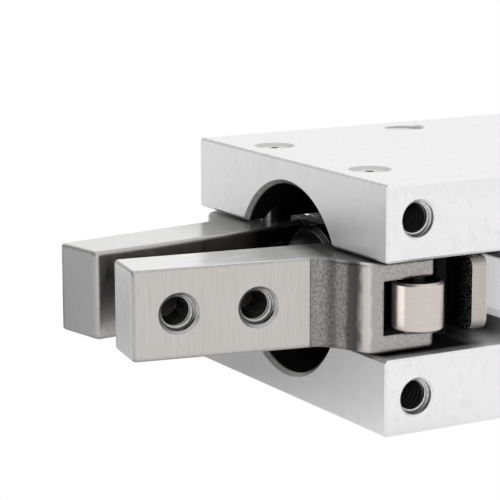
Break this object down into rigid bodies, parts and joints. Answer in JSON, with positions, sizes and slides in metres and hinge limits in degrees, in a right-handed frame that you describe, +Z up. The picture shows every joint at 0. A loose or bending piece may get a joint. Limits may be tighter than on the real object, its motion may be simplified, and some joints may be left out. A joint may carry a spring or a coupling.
{
  "type": "pneumatic angular gripper",
  "caption": "Slotted aluminium block gripper whose piston crosshead swings a pair of tapered steel fingers about pivot pins to open and close them.",
  "frame": {"origin": "centre of the rear mounting face and of its bolt pattern", "axes": "+Y out of the rear face, fingers along -Y; +X to the side with the switch grooves; +Z up through the thickness, along the finger pivots"},
  "size_m": [0.042, 0.08, 0.0276],
  "materials": {
    "anodised_aluminium": "clear anodised, fine matt grain",
    "finger_steel": "stainless steel, machined pad and satin sides",
    "pin_steel": "ground steel pin",
    "roller_steel": "ground and polished bearing steel",
    "crosshead_steel": "blasted steel plate with ground ends",
    "dark_steel": "black oxide steel",
    "rod_chrome": "hard chromed rod",
    "inner_aluminium": "turned aluminium",
    "bearing_bronze": "sintered bronze",
    "guide_plastic": "filled plastic guide ring",
    "magnet_rubber": "bonded magnet",
    "seal_rubber": "nitrile rubber",
    "bumper_rubber": "urethane rubber"
  },
  "bodies": {
    "housing": {"body": "anodised_aluminium", "pivot_pins_right": "pin_steel", "pivot_pins_left": "pin_steel", "rod_cover": "inner_aluminium", "rod_cover_o_ring": "seal_rubber", "rod_cover_ring": "dark_steel", "rod_bush": "bearing_bronze", "rod_seal": "seal_rubber", "front_bumper": "bumper_rubber", "rear_bumper": "bumper_rubber", "end_cap": "inner_aluminium", "end_cap_o_ring": "seal_rubber", "end_cap_ring": "dark_steel"},
    "right_lever": {"finger_right": "finger_steel", "roller_pin_right": "pin_steel"},
    "left_lever": {"finger_left": "finger_steel", "roller_pin_left": "pin_steel"},
    "right_roller": {"roller_right": "roller_steel"},
    "left_roller": {"roller_left": "roller_steel"},
    "piston_assembly": {"piston_rod": "rod_chrome", "piston": "inner_aluminium", "wear_ring": "guide_plastic", "magnet_ring": "magnet_rubber", "piston_seal": "seal_rubber", "crosshead": "crosshead_steel", "crosshead_nut": "dark_steel", "crosshead_washer": "pin_steel"}
  },
  "joints": [
    {"name": "piston_slide", "type": "slide", "parent": "housing", "child": "piston_assembly", "axis": [0, 1, 0], "range_m": [0, 0.00249]},
    {"name": "right_finger_swing", "type": "hinge", "parent": "housing", "child": "right_lever", "pos_m": [0.0105, -0.05129, 0], "axis": [0, 0, 1], "range_deg": [0, 20]},
    {"name": "left_finger_swing", "type": "hinge", "parent": "housing", "child": "left_lever", "pos_m": [-0.0105, -0.05129, 0], "axis": [0, 0, 1], "range_deg": [-20, 0]},
    {"name": "right_roller_spin", "type": "hinge", "parent": "right_lever", "child": "right_roller", "pos_m": [0.01805, -0.04979, 0], "axis": [0, 0, 1], "continuous": true},
    {"name": "left_roller_spin", "type": "hinge", "parent": "left_lever", "child": "left_roller", "pos_m": [-0.01805, -0.04979, 0], "axis": [0, 0, 1], "continuous": true}
  ],
  "couplings": [
    {"joint": "right_finger_swing", "follows": "piston_slide", "rad_per_m": 140},
    {"joint": "left_finger_swing", "follows": "piston_slide", "rad_per_m": -140}
  ]
}
